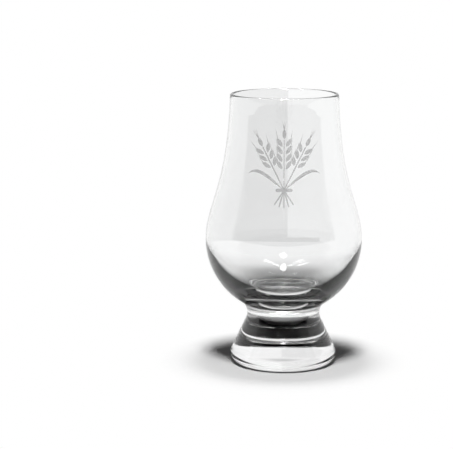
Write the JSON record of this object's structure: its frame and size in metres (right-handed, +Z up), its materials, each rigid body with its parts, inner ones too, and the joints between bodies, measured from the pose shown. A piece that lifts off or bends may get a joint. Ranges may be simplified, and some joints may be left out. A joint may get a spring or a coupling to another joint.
{
  "type": "whisky nosing glass",
  "caption": "Tulip-shaped crystal tasting glass with a narrow mouth, a round belly and a short solid flared foot, frosted with a barley sheaf.",
  "frame": {"origin": "centre of the foot where it stands on the table", "axes": "+Z up along the axis of the glass, -Y out of the engraved front"},
  "size_m": [0.0662, 0.0662, 0.115],
  "materials": {
    "bowl_crystal": "clear lead-free crystal, fire polished",
    "foot_crystal": "clear lead-free crystal, solid and pressed",
    "frosted_mark": "sand-blasted, matt grey frost"
  },
  "bodies": {
    "root": {"bowl": "bowl_crystal", "foot": "foot_crystal", "engraving": "frosted_mark"}
  },
  "joints": []
}
